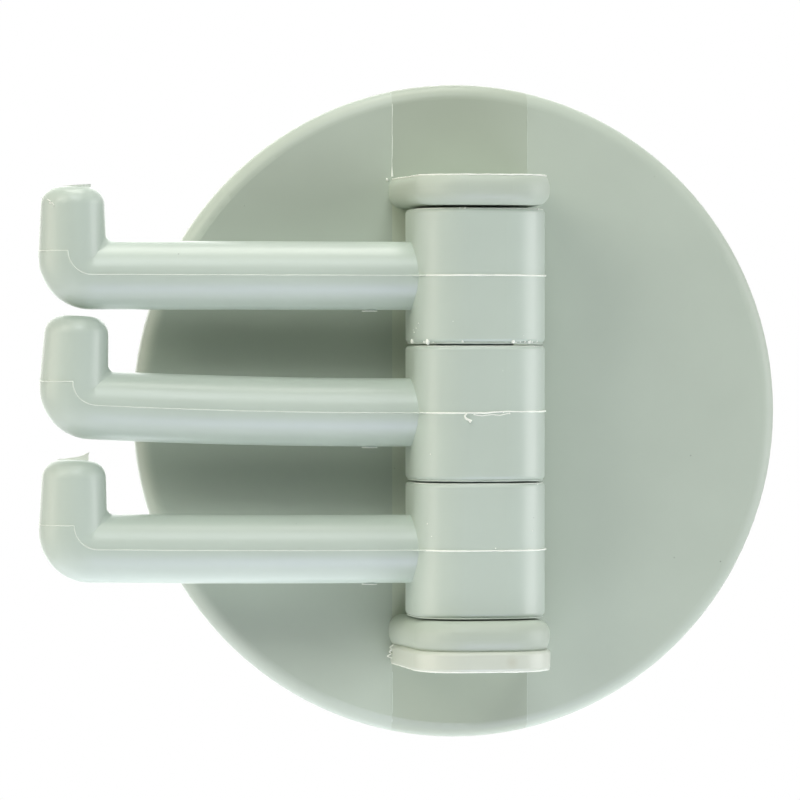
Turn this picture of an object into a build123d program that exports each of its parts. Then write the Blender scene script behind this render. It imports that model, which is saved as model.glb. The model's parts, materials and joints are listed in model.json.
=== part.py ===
from build123d import *
from math import radians, sqrt, tan
import os

os.makedirs("parts", exist_ok=True)

# Rotating wall hook: a round stick-on plate, a hinge pin and three swivel arms.
# Millimetres. The wall is the plane Y = 0, the front faces -Y, +Z is up.

# Wall plate and the adhesive pad behind it
plate_diameter = 80.0
plate_thickness = 2.6
plate_rim_round = 1.8
pad_margin = 3.0
pad_thickness = 0.5

# Hub block of an arm, a rounded square seen along the pin
hub_width = 16.0
hub_height = 16.1
hub_corner = 5.8
hub_edge_round = 0.55
hub_gap = 0.3
sweep_clearance = 0.3

# Lugs on the plate that hold the pin above and below the hubs
lug_overhang = 0.45
lug_lead = 1.5
lug_thickness = 3.6
lug_side_draft = 2.7
lug_corner = 5.6
lug_outer_round = 2.3
lug_outer_depth = 1.4
lug_edge_land = 0.5

# Hinge pin with its head plate under the lower lug
pin_diameter = 5.0
pin_end_chamfer = 0.4
pin_push_clearance = 0.02
pin_swivel_clearance = 0.1
head_thickness = 2.5
head_side_draft = 1.4
head_edge_round = 0.5

# Bar, elbow and upturned tip of an arm, drawn with the arm swung to -X
bar_diameter = 8.2
elbow_bend = 2.15
tip_reach = 48.7
tip_clearance = 1.8
tip_draft = 2.6
tip_top_round = 2.2

# Arms from the top down, each with the upward bow of its bar, in degrees from hub to elbow
arm_bows = {"upper_arm": 0.0, "middle_arm": 2.9, "lower_arm": 1.0}

# Places that follow from the sizes above
plate_front = -(pad_thickness + plate_thickness)
hub_sweep = sqrt(2) * (hub_width / 2 - hub_corner) + hub_corner
pin_y = plate_front - hub_sweep - sweep_clearance
hub_pitch = hub_height + hub_gap
stack_height = len(arm_bows) * hub_pitch + hub_gap
lug_inner = stack_height / 2
lug_outer = lug_inner + lug_thickness
lug_width = hub_width + 2 * lug_overhang
lug_front = pin_y - hub_width / 2 - lug_lead
lug_root = plate_front + plate_thickness / 2
lug_inner_round = lug_thickness - lug_outer_depth - lug_edge_land
bar_radius = bar_diameter / 2
bar_length = tip_reach - hub_width / 2 - elbow_bend
tip_height = hub_pitch - bar_radius - tip_clearance - elbow_bend
tip_top_radius = bar_radius - tip_height * tan(radians(tip_draft))


def lug_outline(height, back, draft):
    """Lug seen from above: wider towards the plate by its draft, with two rounded front corners."""
    with BuildSketch(Plane.XY.offset(height)) as outline:
        half_front = lug_width / 2 + (lug_front - pin_y) * tan(radians(draft))
        half_back = lug_width / 2 + (back - pin_y) * tan(radians(draft))
        with BuildLine():
            Polyline((-half_front, lug_front), (half_front, lug_front), (half_back, back),
                     (-half_back, back), close=True)
        make_face()
        fillet(outline.vertices().group_by(Axis.Y)[0], lug_corner)
    return outline.sketch


# Wall plate: the upper lug is drawn, its outer round cut off flat, and mirrored, then the disc joins both
with BuildPart() as base_plate:
    uncut_thickness = lug_thickness - lug_outer_depth + lug_outer_round
    extrude(lug_outline(lug_inner, lug_root, lug_side_draft), amount=uncut_thickness)
    inner_rim = base_plate.faces().sort_by(Axis.Z)[0].edges().sort_by(Axis.Y)[:-1]
    fillet(inner_rim, lug_inner_round)
    outer_rim = base_plate.faces().sort_by(Axis.Z)[-1].edges().sort_by(Axis.Y)[:-1]
    fillet(outer_rim, lug_outer_round)
    split(bisect_by=Plane.XY.offset(lug_outer), keep=Keep.BOTTOM)
    mirror(about=Plane.XY)
    with Locations((0, pin_y)):
        Hole(pin_diameter / 2 + pin_push_clearance)
    with BuildSketch(Plane.XZ.offset(pad_thickness)):
        Circle(plate_diameter / 2)
    extrude(amount=plate_thickness)
    rim = base_plate.edges().filter_by(GeomType.CIRCLE).group_by(SortBy.RADIUS)[-1]
    fillet(rim.sort_by(Axis.Y)[0], plate_rim_round)
base_plate.part.label = "base_plate"
export_step(base_plate.part, "parts/base_plate.step")

# Adhesive pad on the flat back of the plate
with BuildPart() as adhesive_pad:
    with BuildSketch(Plane.XZ):
        Circle(plate_diameter / 2 - pad_margin)
    extrude(amount=pad_thickness)
adhesive_pad.part.label = "adhesive_pad"
export_step(adhesive_pad.part, "parts/adhesive_pad.step")

# Hinge pin: its head plate, outlined like a lug, bears on the wall plate, so it can't turn
with BuildPart() as hinge_pin:
    extrude(lug_outline(-lug_outer - head_thickness, plate_front, head_side_draft), amount=head_thickness)
    head_faces = hinge_pin.faces().filter_by(Axis.Z)
    head_rims = [edge for face in head_faces for edge in face.edges().sort_by(Axis.Y)[:-1]]
    fillet(head_rims, head_edge_round)
    with BuildSketch(Plane.XY.offset(-lug_outer)):
        with Locations((0, pin_y)):
            Circle(pin_diameter / 2)
    extrude(amount=2 * lug_outer)
    chamfer(hinge_pin.faces().sort_by(Axis.Z)[-1].edges(), pin_end_chamfer)
hinge_pin.part.label = "hinge_pin"
export_step(hinge_pin.part, "parts/hinge_pin.step")

# Swivel arms: hub, bar, elbow and tip are one moulding, parted at the bar's mid-height
top_level = (len(arm_bows) - 1) / 2 * hub_pitch
for index, (name, bow) in enumerate(arm_bows.items()):
    level = top_level - index * hub_pitch
    hub_side = Plane(origin=(-hub_width / 2, pin_y, level), x_dir=(-1, 0, 0), z_dir=(0, 1, 0))

    with BuildPart() as arm:
        # Hub: a rounded square block with soft end edges
        with BuildSketch(Plane((0, pin_y, level))):
            RectangleRounded(hub_width, hub_width, hub_corner)
        extrude(amount=hub_height / 2, both=True)
        fillet(arm.faces().filter_by(Axis.Z).edges(), hub_edge_round)

        # Bar: round, from inside the hub to the start of the bend, straight or bowed up
        with BuildLine(hub_side) as bar_line:
            Line((-hub_width / 2, 0), (0, 0))
            if bow:
                JernArc((0, 0), (1, 0), radius=bar_length / radians(bow), arc_size=bow)
            else:
                Line((0, 0), (bar_length, 0))
        bar_path = bar_line.wire()
        with BuildSketch(Plane(bar_path @ 0, z_dir=bar_path % 0)):
            Circle(bar_radius)
        sweep(path=bar_path)

        # Elbow: the bar's round section, cut off at the bend axis, swung a quarter turn about it
        bend = Plane(bar_path @ 1, x_dir=bar_path % 1, z_dir=(0, 1, 0))
        section = Plane(bend.origin, x_dir=bend.z_dir, z_dir=bend.x_dir)
        bend_axis = Axis(bend.from_local_coords((0, elbow_bend, 0)), bend.z_dir)
        with BuildSketch(section):
            Circle(bar_radius)
            with Locations((0, -elbow_bend)):
                Rectangle(bar_diameter, elbow_bend + bar_radius,
                          align=(Align.CENTER, Align.MIN), mode=Mode.INTERSECT)
        revolve(axis=bend_axis, revolution_arc=90)

        # Tip: a drafted round post with a rounded top
        tip_side = Plane(bend.from_local_coords((elbow_bend, elbow_bend, 0)), bend.x_dir, bend.z_dir)
        with BuildSketch(tip_side):
            with BuildLine():
                Polyline((0, 0), (0, tip_height), (tip_top_radius, tip_height), (bar_radius, 0), close=True)
            make_face()
        revolve(axis=Axis(tip_side.origin, tip_side.y_dir))
        tip_rims = arm.edges().filter_by(GeomType.CIRCLE)
        tip_corner = tip_side.from_local_coords((tip_top_radius, tip_height, 0))
        fillet(tip_rims.sort_by_distance(tip_corner)[0], tip_top_round)

        # Bore for the pin
        with Locations((0, pin_y, level)):
            Hole(pin_diameter / 2 + pin_swivel_clearance)
    arm.part.label = name
    export_step(arm.part, f"parts/{name}.step")
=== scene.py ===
"""Rotating wall hook: the finish of its mouldings, the flash left on them, a plain floor and soft light."""
import json
import math

import bmesh
import bpy
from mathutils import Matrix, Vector
from mathutils.bvhtree import BVHTree


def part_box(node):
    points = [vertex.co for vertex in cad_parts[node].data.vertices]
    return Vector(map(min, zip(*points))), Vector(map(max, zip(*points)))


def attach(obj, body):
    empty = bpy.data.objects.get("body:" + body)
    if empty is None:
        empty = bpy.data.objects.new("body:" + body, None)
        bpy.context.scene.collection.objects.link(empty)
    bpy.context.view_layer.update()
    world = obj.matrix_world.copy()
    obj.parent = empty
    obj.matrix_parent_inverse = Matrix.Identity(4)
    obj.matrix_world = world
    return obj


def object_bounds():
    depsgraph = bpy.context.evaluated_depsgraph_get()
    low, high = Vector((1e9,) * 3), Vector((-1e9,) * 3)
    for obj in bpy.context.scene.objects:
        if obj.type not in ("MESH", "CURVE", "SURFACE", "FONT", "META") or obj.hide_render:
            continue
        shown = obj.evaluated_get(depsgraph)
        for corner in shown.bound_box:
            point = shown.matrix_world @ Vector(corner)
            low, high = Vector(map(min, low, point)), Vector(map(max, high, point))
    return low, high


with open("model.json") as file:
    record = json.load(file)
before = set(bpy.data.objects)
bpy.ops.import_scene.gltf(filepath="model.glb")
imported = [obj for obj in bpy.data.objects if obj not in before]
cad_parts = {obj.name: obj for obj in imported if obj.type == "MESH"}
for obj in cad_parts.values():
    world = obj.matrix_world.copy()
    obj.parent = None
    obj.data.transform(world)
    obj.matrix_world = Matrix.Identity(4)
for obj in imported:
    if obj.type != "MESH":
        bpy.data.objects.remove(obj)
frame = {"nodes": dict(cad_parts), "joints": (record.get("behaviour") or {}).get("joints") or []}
cad_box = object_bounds()

mm = 0.001
ARMS = ("upper_arm", "middle_arm", "lower_arm")
FRONT, BACK = Vector((0, -1, 0)), Vector((0, 1, 0))
RIGHT, UP = Vector((1, 0, 0)), Vector((0, 0, 1))
OUTSIDE = 100 * mm

# Places read from the frame
hinges = {joint["child"]: Vector(joint["pos_m"]) for joint in frame["joints"]}
pin_y = hinges["upper_arm"].y
lug_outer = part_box("hinge_pin")[1][2]
head_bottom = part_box("hinge_pin")[0][2]
plate_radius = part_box("base_plate")[1][0]
# The back of the pin's head bears on the front of the plate
plate_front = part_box("hinge_pin")[1][1]

# The side cores of the mould, which shaped the lugs, left a strip on the plate.
# It is this wide each side of the middle.
strip_half = 8.43 * mm


def linear(hex_colour):
    """An sRGB hex colour as linear red, green, blue and alpha."""
    parts = [int(hex_colour[i:i + 2], 16) / 255 for i in (1, 3, 5)]
    return [c / 12.92 if c <= 0.04045 else ((c + 0.055) / 1.055) ** 2.4 for c in parts] + [1.0]


def add(tree, kind, inputs=None, **settings):
    """Adds a node to a tree. Settings are its properties, inputs its values or the sockets that feed it."""
    made = tree.nodes.new(kind)
    for name, value in settings.items():
        setattr(made, name, value)
    for name, value in (inputs or {}).items():
        if isinstance(value, bpy.types.NodeSocket):
            tree.links.new(value, made.inputs[name])
        else:
            made.inputs[name].default_value = value
    return made


# Materials

SAGE = "#B8C5B9"
PLATE_SAGE = "#B6C1B3"
PALE_SAGE = "#CBD2C4"
FLASH_PAINTED_GLOW = "#F0F4EA"
FOAM = "#E4E4DF"
PAPER = "#F1F3F5"
WHITE = "#FFFFFF"

# Most values of a noise lie in this range
NOISE_RANGE = {"From Min": 0.3, "From Max": 0.7}


def new_material(name):
    """An empty material with its tree and its Principled shader."""
    material = bpy.data.materials.new(name)
    material.use_nodes = True
    return material, material.node_tree, material.node_tree.nodes["Principled BSDF"]


def moulded_polypropylene(name, colour, roughness):
    """Polypropylene from a satin mould: an even tone, faint flow clouds, a silky sheen and rare specks."""
    flow_mm, peel_mm, speck_gap_mm, speck_mm = 14.0, 0.45, 4.0, 0.1
    cloudiness, unevenness = 0.025, 0.04
    material, tree, shader = new_material(name)
    place = add(tree, "ShaderNodeTexCoord").outputs["Object"]
    flow = add(tree, "ShaderNodeTexNoise", {"Vector": place, "Scale": 1000 / flow_mm, "Detail": 3.0})
    cloud = add(tree, "ShaderNodeMapRange", {"Value": flow.outputs["Fac"], **NOISE_RANGE,
                                             "To Min": 1 - cloudiness, "To Max": 1 + cloudiness})
    tone = add(tree, "ShaderNodeVectorMath", {0: linear(colour)[:3], "Scale": cloud.outputs["Result"]},
               operation="SCALE")
    specks = add(tree, "ShaderNodeTexVoronoi", {"Vector": place, "Scale": 1000 / speck_gap_mm})
    speck = add(tree, "ShaderNodeMath", {0: specks.outputs["Distance"], 1: speck_mm / speck_gap_mm},
                operation="LESS_THAN")
    pick = add(tree, "ShaderNodeMapRange", {"Value": specks.outputs["Color"], "To Min": 0.45,
                                            "To Max": 1.3})
    spot = add(tree, "ShaderNodeVectorMath", {0: linear(colour)[:3], "Scale": pick.outputs["Result"]},
               operation="SCALE")
    skin = add(tree, "ShaderNodeMix", {"Factor": speck.outputs[0], "A": tone.outputs["Vector"],
                                       "B": spot.outputs["Vector"]}, data_type="VECTOR")
    tree.links.new(skin.outputs["Result"], shader.inputs["Base Color"])
    gloss = add(tree, "ShaderNodeMapRange", {"Value": flow.outputs["Fac"], **NOISE_RANGE,
                                             "To Min": roughness - unevenness,
                                             "To Max": roughness + unevenness})
    tree.links.new(gloss.outputs["Result"], shader.inputs["Roughness"])
    peel = add(tree, "ShaderNodeTexNoise", {"Vector": place, "Scale": 1000 / peel_mm, "Detail": 2.0})
    bump = add(tree, "ShaderNodeBump", {"Height": peel.outputs["Fac"], "Strength": 0.05,
                                        "Distance": 0.05 * mm})
    tree.links.new(bump.outputs["Normal"], shader.inputs["Normal"])
    shader.inputs["IOR"].default_value = 1.49
    return material


def plate_polypropylene():
    """The plate's polypropylene: the side cores' strip is darker beyond the lugs, partly its own finish and
    partly painted shade, and paler between them with painted light.
    """
    strip_finish_and_painted_shade, strip_painted_light = (0.90, 0.90, 0.87), (1.16, 1.13, 1.08)
    # The strip ends on the round of the rim, and neither the back of the plate nor the lugs have it
    strip_depth, strip_reach = plate_front + 0.75 * mm, 0.8 * mm
    material = moulded_polypropylene("polypropylene_plate_moulded", PLATE_SAGE, 0.38)
    tree = material.node_tree
    shader = tree.nodes["Principled BSDF"]
    whole = shader.inputs["Base Color"].links[0].from_socket
    place = add(tree, "ShaderNodeTexCoord").outputs["Object"]
    axes = add(tree, "ShaderNodeSeparateXYZ", {"Vector": place}).outputs
    aside = add(tree, "ShaderNodeMath", {0: axes["X"]}, operation="ABSOLUTE")
    above = add(tree, "ShaderNodeMath", {0: axes["Z"]}, operation="ABSOLUTE")
    inside = add(tree, "ShaderNodeMath", {0: aside.outputs[0], 1: strip_half}, operation="LESS_THAN")
    beyond = add(tree, "ShaderNodeMath", {0: above.outputs[0], 1: lug_outer}, operation="GREATER_THAN")
    on_front = add(tree, "ShaderNodeMath", {0: axes["Y"], 1: strip_depth, 2: strip_reach},
                   operation="COMPARE")
    strip = add(tree, "ShaderNodeMath", {0: inside.outputs[0], 1: on_front.outputs[0]},
                operation="MULTIPLY")
    # Painted shade beyond the lugs, on top of the strip's own finish; painted light between the lugs, as on
    # a raised face lit from the left
    tint = add(tree, "ShaderNodeMix", {"Factor": beyond.outputs[0], "A": strip_painted_light, "B": strip_finish_and_painted_shade},
               data_type="VECTOR")
    tinted = add(tree, "ShaderNodeVectorMath", {0: whole, 1: tint.outputs["Result"]},
                 operation="MULTIPLY")
    skin = add(tree, "ShaderNodeMix", {"Factor": strip.outputs[0], "A": whole,
                                       "B": tinted.outputs["Vector"]}, data_type="VECTOR")
    tree.links.new(skin.outputs["Result"], shader.inputs["Base Color"])
    shader.inputs["Specular IOR Level"].default_value = 0.28
    return material


def pin_polypropylene(gate):
    """The pin's paler polypropylene: a dull, warm, darker spot where the gate was cut off the front of its
    head, partly the gate's own tone and partly painted shade of its small dimple.
    """
    spot_mm, soft_mm, gate_tone_and_painted_shade = 0.2, 0.7, (0.93, 0.91, 0.88)
    material = moulded_polypropylene("polypropylene_pin_moulded", PALE_SAGE, 0.36)
    tree = material.node_tree
    shader = tree.nodes["Principled BSDF"]
    whole = shader.inputs["Base Color"].links[0].from_socket
    place = add(tree, "ShaderNodeTexCoord").outputs["Object"]
    away = add(tree, "ShaderNodeVectorMath", {0: place, 1: gate}, operation="DISTANCE")
    spot = add(tree, "ShaderNodeMapRange", {"Value": away.outputs["Value"],
                                            "From Min": (spot_mm + soft_mm) * mm,
                                            "From Max": spot_mm * mm})
    # Painted shade: the darker warm tint is partly the gate's own tone and partly the shade of its small
    # dimple
    tinted = add(tree, "ShaderNodeVectorMath", {0: whole, 1: gate_tone_and_painted_shade}, operation="MULTIPLY")
    skin = add(tree, "ShaderNodeMix", {"Factor": spot.outputs["Result"], "A": whole,
                                       "B": tinted.outputs["Vector"]}, data_type="VECTOR")
    tree.links.new(skin.outputs["Result"], shader.inputs["Base Color"])
    return material


def thin_flash():
    """Polypropylene squeezed into the mould's seams, a loose skin: its pale colour is painted light,
    standing in for the light that shines through so thin a skin.
    """
    material, tree, shader = new_material("polypropylene_flash_squeezed")
    pale = add(tree, "ShaderNodeAttribute", attribute_name="pale")
    # Painted light: paler beads are painted towards white, for light shining through the thin flash
    tone = add(tree, "ShaderNodeMix", {"Factor": pale.outputs["Fac"], "A": linear(SAGE)[:3],
                                       "B": linear(FLASH_PAINTED_GLOW)[:3]}, data_type="VECTOR")
    tree.links.new(tone.outputs["Result"], shader.inputs["Base Color"])
    shader.inputs["Roughness"].default_value = 0.45
    shader.inputs["IOR"].default_value = 1.49
    return material


def foam_tape():
    """Closed-cell foam tape with a tacky skin: off-white, dull, with fine cells, and painted shade in the
    dimple of each cell.
    """
    cell_mm = 0.6
    material, tree, shader = new_material("polyethylene_foam_tape_coated")
    place = add(tree, "ShaderNodeTexCoord").outputs["Object"]
    cells = add(tree, "ShaderNodeTexVoronoi", {"Vector": place, "Scale": 1000 / cell_mm})
    # Painted shade: each cell is darker where it dips, following the same pattern as the bump
    painted_cell_shade = add(tree, "ShaderNodeMapRange", {"Value": cells.outputs["Distance"], "From Max": 0.7,
                                             "To Min": 0.93, "To Max": 1.0})
    tone = add(tree, "ShaderNodeVectorMath", {0: linear(FOAM)[:3], "Scale": painted_cell_shade.outputs["Result"]},
               operation="SCALE")
    tree.links.new(tone.outputs["Vector"], shader.inputs["Base Color"])
    dimple = add(tree, "ShaderNodeBump", {"Height": cells.outputs["Distance"], "Strength": 0.25,
                                          "Distance": 0.1 * mm})
    tree.links.new(dimple.outputs["Normal"], shader.inputs["Normal"])
    shader.inputs["Roughness"].default_value = 0.62
    return material


plate_plastic = plate_polypropylene()
arm_plastic = moulded_polypropylene("polypropylene_arm_moulded", SAGE, 0.33)
# Where the gate was cut off the front of the pin's head
head_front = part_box("hinge_pin")[0][1]
head_gate = (2.6 * mm, head_front, head_bottom + 1.25 * mm)
pin_plastic = pin_polypropylene(head_gate)
flash_plastic = thin_flash()
finishes = {"base_plate": plate_plastic, "hinge_pin": pin_plastic, "adhesive_pad": foam_tape()}
finishes.update({arm: arm_plastic for arm in ARMS})
for node_name, finish in finishes.items():
    frame["nodes"][node_name].material_slots[0].material = finish


# Paths laid on the solids

def skin_of(node_name):
    """The surface of a CAD node, to lay paths on."""
    mesh = frame["nodes"][node_name].data
    return BVHTree.FromPolygons([v.co for v in mesh.vertices], [p.vertices for p in mesh.polygons])


skins = {name: skin_of(name) for name in frame["nodes"]}


def seat(skin, beside, outward, reach=OUTSIDE):
    """The point where a line from outside, coming in beside a place, meets a surface."""
    hit = skin.ray_cast(beside + reach * outward, -outward)[0]
    if hit is None:
        raise ValueError(f"nothing to sit on beside {tuple(beside)}")
    return hit


def ring(skin, axis, start, stop, step=4.0, lift=0.0):
    """Points round an upright axis, on the surface. Angles are in degrees, 0 at the front and 90 at +X."""
    count = round(abs(stop - start) / step) + 1
    points = []
    for i in range(count):
        angle = math.radians(start + (stop - start) * i / (count - 1))
        outward = Vector((math.sin(angle), -math.cos(angle), 0))
        points.append(seat(skin, axis, outward) + lift * outward)
    return points


def laid(skin, line, outward, lift=0.0):
    """Points of a line in X and Z, laid on the surface from the front or the back."""
    return [seat(skin, Vector((x, 0, z)), outward) + lift * outward for x, z in line]


def circle(centre, radius, slope=0.0):
    """Points of a level circle, or of one that rises towards +X."""
    count = 24
    turns = [2 * math.pi * i / count for i in range(count)]
    return [centre + radius * Vector((math.cos(a), math.sin(a), slope * math.cos(a))) for a in turns]


def lug_rim(skin, height):
    """Points along the edge of a lug or of the pin's head: one side, round the front, the other side."""
    clear_of_plate, count = 0.2 * mm, 6
    root_y = plate_front - clear_of_plate
    sides = [root_y + (pin_y - root_y) * i / count for i in range(count)]
    left = [seat(skin, Vector((0, y, height)), -RIGHT) for y in sides]
    right = [seat(skin, Vector((0, y, height)), RIGHT) for y in sides]
    return left + ring(skin, Vector((0, pin_y, height)), -90, 90) + right[::-1]


# Flash ridges: a ragged bead of plastic along a seam of the mould

def socket_inputs(tree, sockets):
    """Gives a node tree its named inputs and its one output, and returns the inputs."""
    for name, kind in sockets.items():
        tree.interface.new_socket(name, in_out="INPUT", socket_type="NodeSocket" + kind)
    tree.interface.new_socket("Geometry", in_out="OUTPUT", socket_type="NodeSocketGeometry")
    return add(tree, "NodeGroupInput").outputs


def ridge_tree():
    """Sweeps a bead along each path of a mesh of edges; its thickness is an attribute of the points."""
    tree = bpy.data.node_groups.new("flash_ridge", "GeometryNodeTree")
    given = socket_inputs(tree, {"Paths": "Geometry", "Spacing": "Float", "Ragged": "Float",
                                 "Ragged length": "Float", "Seed": "Float", "Material": "Material"})
    curve = add(tree, "GeometryNodeMeshToCurve", {"Mesh": given["Paths"]})
    even = add(tree, "GeometryNodeResampleCurve", {"Curve": curve.outputs["Curve"],
                                                   "Length": given["Spacing"]}, mode="LENGTH")
    rate = add(tree, "ShaderNodeMath", {0: 1.0, 1: given["Ragged length"]}, operation="DIVIDE")
    noise = add(tree, "ShaderNodeTexNoise", {"W": given["Seed"], "Scale": rate.outputs[0], "Detail": 2.0},
                noise_dimensions="4D")
    centred = add(tree, "ShaderNodeVectorMath", {0: noise.outputs["Color"], 1: (0.5, 0.5, 0.5)},
                  operation="SUBTRACT")
    stray = add(tree, "ShaderNodeVectorMath", {0: centred.outputs["Vector"], "Scale": given["Ragged"]},
                operation="SCALE")
    ragged = add(tree, "GeometryNodeSetPosition", {"Geometry": even.outputs["Curve"],
                                                   "Offset": stray.outputs["Vector"]})
    thickness = add(tree, "GeometryNodeInputNamedAttribute", {"Name": "thickness"}, data_type="FLOAT")
    uneven = add(tree, "ShaderNodeMapRange", {"Value": noise.outputs["Fac"], **NOISE_RANGE,
                                              "To Min": 0.75, "To Max": 1.25})
    bead = add(tree, "ShaderNodeMath", {0: thickness.outputs["Attribute"], 1: uneven.outputs["Result"]},
               operation="MULTIPLY")
    section = add(tree, "GeometryNodeCurvePrimitiveCircle", {"Resolution": 8, "Radius": 1.0})
    swept = add(tree, "GeometryNodeCurveToMesh", {"Curve": ragged.outputs["Geometry"],
                                                  "Profile Curve": section.outputs["Curve"],
                                                  "Scale": bead.outputs[0], "Fill Caps": True})
    whole = add(tree, "GeometryNodeRealizeInstances", {"Geometry": swept.outputs["Mesh"]})
    painted = add(tree, "GeometryNodeSetMaterial", {"Geometry": whole.outputs["Geometry"],
                                                    "Material": given["Material"]})
    add(tree, "NodeGroupOutput", {"Geometry": painted.outputs["Geometry"]})
    return tree


def crumb_tree():
    """Puts a lumpy crumb on each point of a mesh; its size is an attribute of the points."""
    tree = bpy.data.node_groups.new("flash_crumbs", "GeometryNodeTree")
    given = socket_inputs(tree, {"Points": "Geometry", "Lump": "Float", "Lump length": "Float",
                                 "Seed": "Int", "Material": "Material"})
    points = add(tree, "GeometryNodeMeshToPoints", {"Mesh": given["Points"]})
    grain = add(tree, "GeometryNodeMeshIcoSphere", {"Radius": 1.0, "Subdivisions": 3})
    # About a full turn, in radians
    turn = add(tree, "FunctionNodeRandomValue", {"Max": (6.28, 6.28, 6.28), "Seed": given["Seed"]},
               data_type="FLOAT_VECTOR")
    squash = add(tree, "FunctionNodeRandomValue", {"Min": (0.7, 0.7, 0.6), "Max": (1.3, 1.2, 0.9),
                                                   "Seed": given["Seed"]}, data_type="FLOAT_VECTOR")
    size = add(tree, "GeometryNodeInputNamedAttribute", {"Name": "thickness"}, data_type="FLOAT")
    scale = add(tree, "ShaderNodeVectorMath", {0: squash.outputs["Value"],
                                               "Scale": size.outputs["Attribute"]}, operation="SCALE")
    placed = add(tree, "GeometryNodeInstanceOnPoints", {
        "Points": points.outputs["Points"], "Instance": grain.outputs["Mesh"],
        "Rotation": turn.outputs["Value"], "Scale": scale.outputs["Vector"]})
    whole = add(tree, "GeometryNodeRealizeInstances", {"Geometry": placed.outputs["Instances"]})
    rate = add(tree, "ShaderNodeMath", {0: 1.0, 1: given["Lump length"]}, operation="DIVIDE")
    noise = add(tree, "ShaderNodeTexNoise", {"Scale": rate.outputs[0], "Detail": 2.0})
    centred = add(tree, "ShaderNodeVectorMath", {0: noise.outputs["Color"], 1: (0.5, 0.5, 0.5)},
                  operation="SUBTRACT")
    shift = add(tree, "ShaderNodeVectorMath", {0: centred.outputs["Vector"], "Scale": given["Lump"]},
                operation="SCALE")
    lumpy = add(tree, "GeometryNodeSetPosition", {"Geometry": whole.outputs["Geometry"],
                                                  "Offset": shift.outputs["Vector"]})
    painted = add(tree, "GeometryNodeSetMaterial", {"Geometry": lumpy.outputs["Geometry"],
                                                    "Material": given["Material"]})
    add(tree, "NodeGroupOutput", {"Geometry": painted.outputs["Geometry"]})
    return tree


RIDGES, CRUMBS = ridge_tree(), crumb_tree()


def paths_mesh(paths):
    """A mesh of edges or loose points. Each path is (points, thickness, paleness 0 to 1, closed)."""
    vertices, edges, thickness, pale = [], [], [], []
    for points, widths, whiteness, closed in paths:
        first = len(vertices)
        vertices += points
        thickness += widths
        pale += whiteness
        edges += [(first + i, first + i + 1) for i in range(len(points) - 1)]
        if closed:
            edges.append((len(vertices) - 1, first))
    mesh = bpy.data.meshes.new("paths")
    mesh.from_pydata(vertices, edges, [])
    mesh.attributes.new("thickness", "FLOAT", "POINT").data.foreach_set("value", thickness)
    mesh.attributes.new("pale", "FLOAT", "POINT").data.foreach_set("value", pale)
    return mesh


def even_path(points, width, whiteness, closed=False):
    """A path with the same thickness and paleness all along."""
    return points, [width] * len(points), [whiteness] * len(points), closed


def shown(name, mesh, body):
    """The object of a finished mesh, riding a body."""
    mesh.name = name
    mesh.shade_smooth()
    piece = bpy.data.objects.new(name, mesh)
    bpy.context.scene.collection.objects.link(piece)
    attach(piece, body)


def grown(mesh, tree, values):
    """The plain mesh that a node tree makes from a mesh."""
    holder = bpy.data.objects.new("paths", mesh)
    bpy.context.scene.collection.objects.link(holder)
    modifier = holder.modifiers.new("tree", "NODES")
    modifier.node_group = tree
    for item in tree.interface.items_tree:
        if item.in_out == "INPUT" and item.name in values:
            modifier[item.identifier] = values[item.name]
    evaluated = holder.evaluated_get(bpy.context.evaluated_depsgraph_get())
    made = bpy.data.meshes.new_from_object(evaluated)
    bpy.data.objects.remove(holder)
    return made


def flash_ridge(name, paths, body, seed, ragged):
    """A ragged bead along each path, as one piece."""
    mesh = grown(paths_mesh(paths), RIDGES, {
        "Spacing": 0.2 * mm, "Ragged": ragged, "Ragged length": 1.5 * mm, "Seed": float(seed),
        "Material": flash_plastic})
    shown(name, mesh, body)


# Parting lines of the arms

hub_bead, bar_bead, fin_lift = 0.10 * mm, 0.07 * mm, 0.12 * mm
hub_paleness, bar_paleness = 0.95, 0.45
step_up = 2.85 * mm
# Each arm's seam: how far left of the tip's middle it steps up, how far it rises across the front of the
# hub, where the mould's halves met badly, and how ragged it is
SEAMS = {
    "upper_arm": (1.0 * mm, 0.0, 0.06 * mm),
    "middle_arm": (0.6 * mm, 0.16 * mm, 0.14 * mm),
    "lower_arm": (0.35 * mm, 0.0, 0.06 * mm),
}


class ArmShape:
    """What the frame says about one arm: its hinge, its bar and its tip."""

    def __init__(self, arm):
        self.skin = skins[arm]
        self.hinge = hinges[arm]
        box_low, box_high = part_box(arm)
        self.hub_half = box_high[0] - self.hinge.x
        self.bar_radius = self.bar_section(self.hinge.x - 2 * self.hub_half)[1]
        self.tip_x = box_low[0] + self.bar_radius
        beside_bore = self.hinge + 0.6 * self.hub_half * RIGHT
        self.hub_top = seat(self.skin, beside_bore, UP).z
        self.hub_bottom = seat(self.skin, beside_bore, -UP).z

    def bar_section(self, x):
        """Mid-height and half the thickness of the bar at a place along it."""
        beside = Vector((x, self.hinge.y, self.hinge.z))
        top, bottom = seat(self.skin, beside, UP).z, seat(self.skin, beside, -UP).z
        return (top + bottom) / 2, (top - bottom) / 2


def hub_rise(rise, x):
    """How far a seam has risen at a place across the hub."""
    middle, length = 0.5 * mm, 0.35 * mm
    return rise / (1 + math.exp((middle - x) / length))


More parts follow.
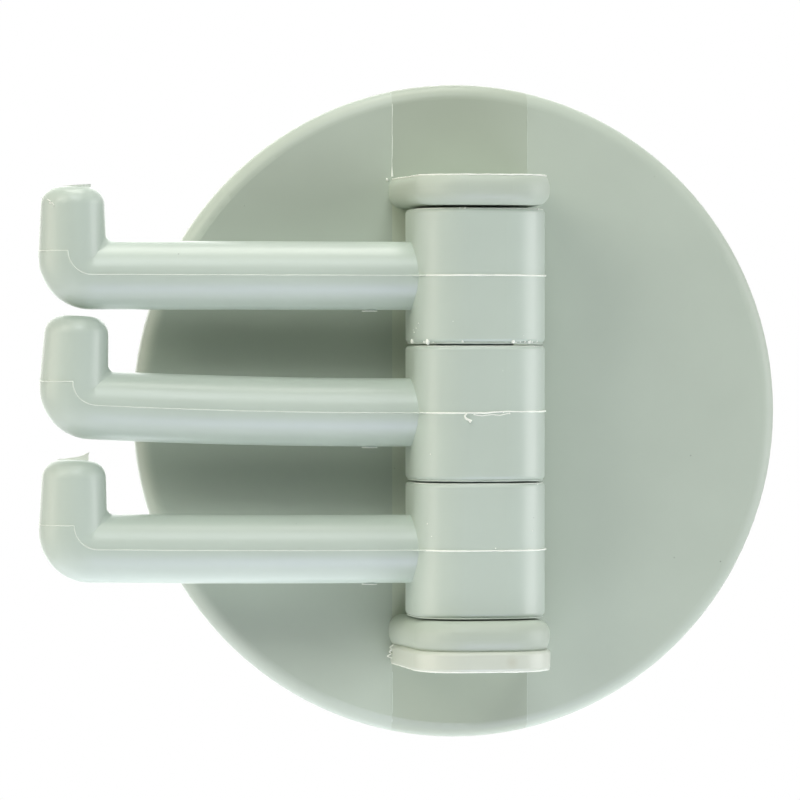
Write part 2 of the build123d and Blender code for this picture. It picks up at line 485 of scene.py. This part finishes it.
def parting_path(shape, left, rise):
    """The closed seam of an arm's mould: round the hub, along the bar, up and round the tip."""
    spacing, clear_of_hub, past_corner_deg = 1.5 * mm, 1 * mm, 2
    skin, hinge = shape.skin, shape.hinge
    turn_x = shape.tip_x - left + step_up
    hub_left = hinge.x - math.sqrt(shape.hub_half ** 2 - shape.bar_radius ** 2)
    beside_hub = hinge.x - shape.hub_half - clear_of_hub
    count = round((hub_left - turn_x) / spacing)
    stations = [hub_left + (turn_x - hub_left) * i / count for i in range(count - 1)]
    line = [(x, shape.bar_section(min(x, beside_hub))[0]) for x in stations]
    slope = (line[-1][1] - line[-2][1]) / (line[-1][0] - line[-2][0])
    corner_z = line[-1][1] + slope * (turn_x - line[-1][0]) + step_up
    quarter = [math.radians(angle) for angle in range(0, 91, 9)]
    line += [(turn_x - step_up * math.sin(a), corner_z - step_up * math.cos(a)) for a in quarter]

    # Round the hub from the back of the bar to its front, with a fin that stands out on the right
    back_half, fin = ring(skin, hinge, 240, 130), ring(skin, hinge, 126, 54, lift=fin_lift)
    level = back_half + fin + ring(skin, hinge, 50, -60)
    hub = [point + hub_rise(rise, point.x - hinge.x) * UP for point in level]
    front, back = laid(skin, line, FRONT), laid(skin, line[::-1], BACK)
    corner = math.degrees(math.asin(left / shape.bar_radius)) + past_corner_deg
    tip = ring(skin, Vector((shape.tip_x, hinge.y, corner_z)), -corner, corner - 180)
    bar = front + tip + back
    return (hub + bar, [hub_bead] * len(hub) + [bar_bead] * len(bar),
            [hub_paleness] * len(hub) + [bar_paleness] * len(bar), True)


def drawn_on(shape, outline, lift=0.0):
    """Points given in millimetres across and above the hinge, laid on the front of an arm."""
    return laid(shape.skin, [(x * mm, shape.hinge.z + z * mm) for x, z in outline], FRONT, lift)


def hub_paths(shape):
    """Flash on a hub's upper rim, a burr round its lower end, and plastic worn off into the gap above it."""
    x, y, _ = shape.hinge
    rim_drop, rim_bead = 0.1 * mm, 0.055 * mm
    rim = ring(shape.skin, Vector((x, y, shape.hub_top - rim_drop)), -75, 95)
    # The burr hangs from the round of the lower edge and narrows the gap under the hub
    foot_rise, burr_drop, burr_bead = 0.08 * mm, 0.1 * mm, 0.09 * mm
    foot = ring(shape.skin, Vector((x, y, shape.hub_bottom + foot_rise)), 0, 356)
    burr = [point - burr_drop * UP for point in foot]
    # The worn plastic lies in a ring round the pin
    wear_rise, wear_radius, wear_bead = 0.1 * mm, 4.5 * mm, 0.12 * mm
    wear = circle(Vector((x, y, shape.hub_top + wear_rise)), wear_radius)
    return [even_path(rim, rim_bead, 0.8), even_path(burr, burr_bead, 0.1, closed=True),
            even_path(wear, wear_bead, 0.0, closed=True)]


push_out_x, push_out_radius, push_out_proud = -12.9 * mm, 0.9 * mm, 0.12 * mm


def push_out_end(shape):
    """The middle of the round mark that the push-out pin of the mould left under the bar."""
    return seat(shape.skin, Vector((push_out_x, pin_y, shape.hinge.z)), -UP) - push_out_proud * UP


def push_out_rim(shape):
    """A thin rim where plastic crept in round the push-out pin."""
    bead = 0.06 * mm
    return even_path(circle(push_out_end(shape), push_out_radius), bead, 1.0, closed=True)


def tip_curl(shape):
    """A curl of flash on the side of the tip."""
    lift, bead = 0.05 * mm, 0.06 * mm
    curl = [(-51.9, 8.9), (-51.55, 8.65), (-51.75, 8.4), (-51.4, 8.5), (-51.2, 8.15)]
    return even_path(drawn_on(shape, curl, lift), bead, 0.9)


def hub_curl(shape):
    """A curl of flash that hangs from the seam on the front of the hub, with a lump at its end."""
    lift = 0.1 * mm
    curl = [(-2.6, -0.05), (-2.85, -0.35), (-2.75, -0.62), (-2.4, -0.8), (-2.1, -1.0)]
    beads = [0.1 * mm, 0.1 * mm, 0.12 * mm, 0.12 * mm, 0.2 * mm]
    return drawn_on(shape, curl, lift), beads, [1.0] * len(curl), False


def second_seam(shape):
    """A second, uneven line just under the seam on the front of the hub."""
    bead = 0.06 * mm
    line = [(-1.8, -0.2), (-0.8, -0.3), (0.4, -0.2), (1.4, -0.26), (2.6, -0.05)]
    return even_path(drawn_on(shape, line), bead, 0.9)


LOOSE_FLASH = {"upper_arm": [tip_curl], "middle_arm": [hub_curl, second_seam], "lower_arm": []}
shapes = {arm: ArmShape(arm) for arm in ARMS}
for number, (arm, (left, rise, ragged)) in enumerate(SEAMS.items()):
    shape = shapes[arm]
    paths = [parting_path(shape, left, rise)] + hub_paths(shape) + [push_out_rim(shape)]
    paths += [loose(shape) for loose in LOOSE_FLASH[arm]]
    flash_ridge(arm + "_parting_flash", paths, arm, number, ragged)


# Flash and core lines on the plate, and flash on the head of the pin

plate_skin, pin_skin = skins["base_plate"], skins["hinge_pin"]


def core_lines():
    """Lines along both sides of the strip, above and below the lugs; the upper left one shows most."""
    rim_margin, stations, faint = 0.3 * mm, 8, 0.15
    strip_end = math.sqrt(plate_radius ** 2 - strip_half ** 2) - rim_margin
    paths = []
    for side, bead, upper_paleness in ((-1, 0.05 * mm, 0.6), (1, 0.03 * mm, faint)):
        for start, stop, paleness in ((lug_outer, strip_end, upper_paleness),
                                      (head_bottom, -strip_end, faint)):
            heights = [start + (stop - start) * i / stations for i in range(1, stations + 1)]
            line = laid(plate_skin, [(side * strip_half, z) for z in heights], FRONT)
            paths.append(even_path(line, bead, paleness))
    return paths


def core_line_foot():
    """A thicker skin at the foot of the upper left line, where it runs into the lug."""
    heights = [lug_outer + rise * mm for rise in (0.3, 0.7, 1.1, 1.6)]
    beads = [0.13 * mm, 0.11 * mm, 0.09 * mm, 0.05 * mm]
    return laid(plate_skin, [(-strip_half, z) for z in heights], FRONT), beads, [1.0, 1.0, 0.9, 0.6], False


def head_burr():
    """A ragged burr on the left end of the pin's head."""
    bead = 0.08 * mm
    # Depth, height above the bottom of the head and how far it stands out, in millimetres
    zigzag = [(-4.3, 2.45, 0.02), (-3.9, 2.1, 0.25), (-4.3, 1.85, 0.02), (-3.9, 1.5, 0.3),
              (-4.2, 1.3, 0.05), (-3.9, 1.0, 0.6), (-4.3, 0.8, 0.02)]
    points = []
    for y, z, out in zigzag:
        on_side = seat(pin_skin, Vector((0, y * mm, head_bottom + z * mm)), -RIGHT)
        points.append(on_side - out * mm * RIGHT)
    return even_path(points, bead, 1.0)


lug_seam, lug_bead = lug_outer - 0.03 * mm, 0.095 * mm
lug_flash = even_path(lug_rim(plate_skin, lug_seam), lug_bead, 1.0)
flash_ridge("base_plate_flash", core_lines() + [core_line_foot(), lug_flash], "base",
            seed=3, ragged=0.16 * mm)

head_seam, head_bead = head_bottom + 0.12 * mm, 0.09 * mm
head_flash = even_path(lug_rim(pin_skin, head_seam), head_bead, 1.0)
flash_ridge("hinge_pin_flash", [head_flash, head_burr()], "base", seed=4, ragged=0.1 * mm)


# Crumbs of flash on the edges of the hubs, lug and head

def crumbs(name, places, body, seed):
    """Crumbs of flash at places, each with its size, as one piece."""
    paleness = 0.9
    points = paths_mesh([([place], [size], [paleness], False) for place, size in places])
    mesh = grown(points, CRUMBS, {
        "Lump": 0.1 * mm, "Lump length": 0.25 * mm, "Seed": seed, "Material": flash_plastic})
    shown(name, mesh, body)


def crumbs_on(skin, places):
    """Places given as X, height and size in millimetres, laid on the front of a surface."""
    return [(laid(skin, [(x * mm, z * mm)], FRONT)[0], size * mm) for x, z, size in places]


def crumbs_round(skin, axis, places):
    """Places given as degrees round an upright axis, height and size in millimetres, laid on a surface."""
    return [(ring(skin, Vector((axis.x, axis.y, z * mm)), angle, angle + 1, 1)[0], size * mm)
            for angle, z, size in places]


upper, middle, lower = (shapes[arm] for arm in ARMS)
low_edge, high_edge = upper.hub_bottom / mm + 0.15, upper.hub_top / mm - 0.1
rubbed_off = crumbs_on(upper.skin, [
    (-6.8, low_edge, 0.34), (-7.1, low_edge - 0.05, 0.2), (-6.2, low_edge - 0.1, 0.14),
    (-3.05, low_edge, 0.2), (3.1, low_edge, 0.26), (3.45, low_edge - 0.1, 0.14),
    (4.0, low_edge - 0.05, 0.12), (4.6, low_edge, 0.13), (5.2, low_edge, 0.24),
    (5.6, low_edge - 0.05, 0.15), (6.3, low_edge, 0.15), (-3.4, high_edge, 0.14),
    (-2.8, high_edge, 0.15), (6.4, high_edge, 0.18), (-4.2, 10.9, 0.05), (4.4, 9.2, 0.05)])
rubbed_off += crumbs_round(upper.skin, upper.hinge, [
    (-80, low_edge + 0.05, 0.27), (-62, 10.7, 0.09), (-66, 10.1, 0.08), (-70, 9.6, 0.1),
    (-74, 9.9, 0.08)])
crumbs("upper_arm_crumbs", rubbed_off, "upper_arm", 1)

top_edge = middle.hub_top / mm - 0.1
middle_specks = crumbs_on(middle.skin, [
    (-7.4, top_edge, 0.1), (-4.9, top_edge, 0.1), (-3.9, top_edge, 0.09), (-6.6, -4.9, 0.07),
    (5.9, top_edge, 0.12), (1.8, 0.1, 0.12), (2.6, -0.05, 0.09)])
crumbs("middle_arm_crumbs", middle_specks, "middle_arm", 2)

level = lower.hinge.z / mm
lower_specks = crumbs_on(lower.skin, [
    (-6.9, level + 3.2, 0.1), (-6.5, level + 1.7, 0.08), (0.9, level + 0.3, 0.09),
    (5.6, level + 2.3, 0.07), (6.4, lower.hub_top / mm - 0.15, 0.16)])
crumbs("lower_arm_crumbs", lower_specks, "lower_arm", 3)

plate_specks = crumbs_on(plate_skin, [(-9.05, lug_outer / mm - 0.1, 0.2), (-4.26, -24.4, 0.08)])
crumbs("base_plate_crumbs", plate_specks, "base", 4)
head_edge = head_bottom / mm + 0.1
head_specks = crumbs_on(pin_skin, [(-6.35, head_edge, 0.15), (-5.4, head_edge, 0.08)])
crumbs("hinge_pin_crumbs", head_specks, "base", 5)


# Marks of the mould on the arms: the push-out pin, a soft inner corner, the gate torn off the tip

def loft(bm, sections):
    """Adds a closed form through sections that have the same number of points."""
    rows = [[bm.verts.new(point) for point in section] for section in sections]
    count = len(rows[0])
    for row, following in zip(rows, rows[1:]):
        for i in range(count):
            j = (i + 1) % count
            bm.faces.new((row[i], row[j], following[j], following[i]))
    bm.faces.new(rows[0][::-1])
    bm.faces.new(rows[-1])


def push_out_mark(bm, shape):
    """The round mark of the pin that pushed the arm out of its mould, a little proud of the bar."""
    height = 0.6 * mm
    end = push_out_end(shape)
    loft(bm, [circle(end, push_out_radius), circle(end + height * UP, push_out_radius)])


def gate_stub(bm, shape, radius, rise):
    """The stub left where the gate was cut off the top of a tip, higher on the side of the bar."""
    off_middle, sunk = 0.3 * mm, 0.5 * mm
    top = seat(shape.skin, Vector((shape.tip_x + off_middle, pin_y, shape.hinge.z)), UP)
    foot = circle(top - sunk * UP, radius)
    loft(bm, [foot, circle(top + rise / 2 * UP, radius, slope=rise / 2 / radius)])


def gate_fin(bm, shape, length, height, thickness):
    """The thin fin left where the gate tore off the top of a tip; its profile is in shares of its size."""
    top = seat(shape.skin, Vector((shape.tip_x, pin_y, shape.hinge.z)), UP)
    profile = [(-0.5, -0.6), (-0.5, 0.1), (-0.2, 0.2), (0.1, 0.38), (0.3, 0.6), (0.42, 0.86),
               (0.53, 1.02), (0.49, 0.7), (0.5, -0.6)]
    loft(bm, [[top + Vector((x * length, side * thickness / 2, z * height)) for x, z in profile]
              for side in (-1, 1)])


def inner_corner(bm, shape):
    """A soft round in the corner between bar and tip, fading out to the sides."""
    largest, sunk, root, stations, steps = 0.9 * mm, 0.02 * mm, 0.1 * mm, 17, 6
    half_width = 0.8 * shape.bar_radius
    beside_tip = shape.tip_x + shape.bar_radius + 1.5 * mm
    above_bar, reach = 1 * mm, 5 * mm
    turns = [math.radians(180 + 90 * step / steps) for step in range(steps + 1)]
    sections = []
    for i in range(stations):
        share = 2 * i / (stations - 1) - 1
        y = pin_y + half_width * share
        radius = largest * (1 - share ** 4) + sunk
        bar_z = seat(shape.skin, Vector((beside_tip, y, shape.hinge.z)), UP).z - sunk
        tip_x = seat(shape.skin, Vector((beside_tip, y, bar_z + above_bar)), RIGHT, reach).x - sunk
        x, z = tip_x + radius, bar_z + radius
        arc = [Vector((x + radius * math.cos(a), y, z + radius * math.sin(a))) for a in turns]
        sections.append(arc + [Vector((tip_x - root, y, bar_z - root))])
    loft(bm, sections)


def finished(bm, name, material, arm, pale=0.0):
    """The closed forms of a bmesh as one piece on an arm, smooth but for its sharp edges."""
    sharp_angle = math.radians(40)
    bmesh.ops.recalc_face_normals(bm, faces=bm.faces)
    mesh = bpy.data.meshes.new(name)
    bm.to_mesh(mesh)
    bm.free()
    mesh.materials.append(material)
    mesh.attributes.new("pale", "FLOAT", "POINT").data.foreach_set("value", [pale] * len(mesh.vertices))
    shown(name, mesh, arm)
    mesh.set_sharp_from_angle(angle=sharp_angle)


for arm, shape in shapes.items():
    bm = bmesh.new()
    push_out_mark(bm, shape)
    inner_corner(bm, shape)
    finished(bm, arm + "_mould_marks", arm_plastic, arm)

bm = bmesh.new()
gate_stub(bm, upper, radius=1.9 * mm, rise=0.3 * mm)
finished(bm, "upper_arm_gate_stub", flash_plastic, "upper_arm", pale=0.5)
bm = bmesh.new()
gate_fin(bm, lower, length=3.7 * mm, height=0.85 * mm, thickness=0.5 * mm)
finished(bm, "lower_arm_gate_fin", flash_plastic, "lower_arm", pale=0.9)


# Floor, light and camera

def looks_at_background(tree):
    """1 for a ray that sees the background, also in gloss or through something clear, and 0 for others."""
    rays = add(tree, "ShaderNodeLightPath").outputs
    opaque = add(tree, "ShaderNodeMath", {0: rays["Is Camera Ray"], 1: rays["Is Glossy Ray"]},
                 operation="MAXIMUM")
    seen = add(tree, "ShaderNodeMath", {0: opaque.outputs[0], 1: rays["Is Transmission Ray"]},
               operation="MAXIMUM")
    return seen.outputs[0]


def floor_paper():
    """White paper: matt, and fading into the white surroundings away from the object."""
    fade_start, fade_end = 120 * mm, 420 * mm
    material, tree, shader = new_material("paper_sheet_matt")
    shader.inputs["Base Color"].default_value = linear(PAPER)
    shader.inputs["Roughness"].default_value = 0.9
    shader.inputs["Specular IOR Level"].default_value = 0.1
    place = add(tree, "ShaderNodeTexCoord").outputs["Object"]
    away = add(tree, "ShaderNodeVectorMath", {0: place}, operation="LENGTH")
    fade = add(tree, "ShaderNodeMapRange", {"Value": away.outputs["Value"], "From Min": fade_start,
                                            "From Max": fade_end}, interpolation_type="SMOOTHSTEP")
    seen = add(tree, "ShaderNodeMath", {0: looks_at_background(tree), 1: fade.outputs["Result"]},
               operation="MULTIPLY")
    white = add(tree, "ShaderNodeEmission", {"Strength": 1.0})
    mixed = add(tree, "ShaderNodeMixShader", {0: seen.outputs[0], 1: shader.outputs["BSDF"],
                                              2: white.outputs["Emission"]})
    tree.links.new(mixed.outputs["Shader"], tree.nodes["Material Output"].inputs["Surface"])
    return material


floor_drop, floor_reach = 200 * mm, 450 * mm
floor_mesh = bpy.data.meshes.new("floor")
corners = [(x * floor_reach, y * floor_reach, 0) for x, y in ((-1, -1), (1, -1), (1, 1), (-1, 1))]
floor_mesh.from_pydata(corners, [], [(0, 1, 2, 3)])
floor_mesh.materials.append(floor_paper())
floor = bpy.data.objects.new("floor", floor_mesh)
floor.location.z = cad_box[0][2] - floor_drop
bpy.context.scene.collection.objects.link(floor)

# Soft boxes: place, the point it faces and side in metres, power in watts of red, green and blue
MIDDLE = (0.0, 0.0, 0.0)
SOFT_BOXES = {
    "top": ((0.0, -0.015, 0.55), MIDDLE, 0.3, (1.69, 1.66, 1.60)),
    "high_left": ((-0.52, -0.40, 0.42), MIDDLE, 0.4, (2.40, 2.33, 2.10)),
    "high_front": ((0.0, -0.60, 0.60), MIDDLE, 0.4, (2.76, 2.83, 2.96)),
    "left": ((-0.85, -0.05, 0.05), MIDDLE, 0.6, (2.35, 2.05, 1.80)),
    "right": ((0.82, -0.19, 0.05), MIDDLE, 0.6, (4.15, 4.08, 4.10)),
    "table": ((0.0, -0.05, -0.23), (0.0, -0.05, 0.0), 0.5, (0.90, 0.92, 1.06)),
    "back": ((0.0, 0.75, 0.15), MIDDLE, 0.9, (4.50, 4.50, 4.50)),
    "window": ((0.045, -0.19, -0.175), MIDDLE, 0.14, (0.08, 0.07, 0.15)),
}

world = bpy.data.worlds.new("white_surroundings")
bpy.context.scene.world = world
world.use_nodes = True
sky = world.node_tree
sky.nodes.clear()
dark = add(sky, "ShaderNodeBackground", {"Strength": 0.0})
white = add(sky, "ShaderNodeBackground", {"Color": linear(WHITE)})
mixed = add(sky, "ShaderNodeMixShader", {0: looks_at_background(sky), 1: dark.outputs[0],
                                         2: white.outputs[0]})
add(sky, "ShaderNodeOutputWorld", {"Surface": mixed.outputs[0]})

for name, (place, aim, side, power) in SOFT_BOXES.items():
    light = bpy.data.lights.new(name + "_soft_box", "AREA")
    light.size = side
    light.energy = 1.0
    light.color = power
    lamp = bpy.data.objects.new(light.name, light)
    lamp.location = place
    lamp.rotation_euler = (Vector(place) - Vector(aim)).to_track_quat("Z", "Y").to_euler()
    lamp.visible_camera = False
    # The window is only a cool sheen along the bars
    lamp.visible_diffuse = name != "window"
    bpy.context.scene.collection.objects.link(lamp)

# The photograph's view: turned a little to the left, almost level, from far off
view_yaw, view_pitch = math.radians(10.57), math.radians(0.63)
view_distance = 591.7 * mm
view_target = Vector((-6.88 * mm, 0, 1.35 * mm))
focal_pixels, frame_pixels, sensor_width = 4819, 800, 36.0
camera = bpy.data.cameras.new("camera")
camera.sensor_width = sensor_width
camera.lens = sensor_width * focal_pixels / frame_pixels
camera.clip_start = 0.01
eye = bpy.data.objects.new("camera", camera)
toward = Vector((math.sin(view_yaw) * math.cos(view_pitch),
                 math.cos(view_yaw) * math.cos(view_pitch),
                 -math.sin(view_pitch)))
eye.location = view_target - view_distance * toward
eye.rotation_euler = toward.to_track_quat("-Z", "Y").to_euler()
bpy.context.scene.collection.objects.link(eye)
bpy.context.scene.camera = eye
bpy.context.scene.view_settings.view_transform = "Standard"
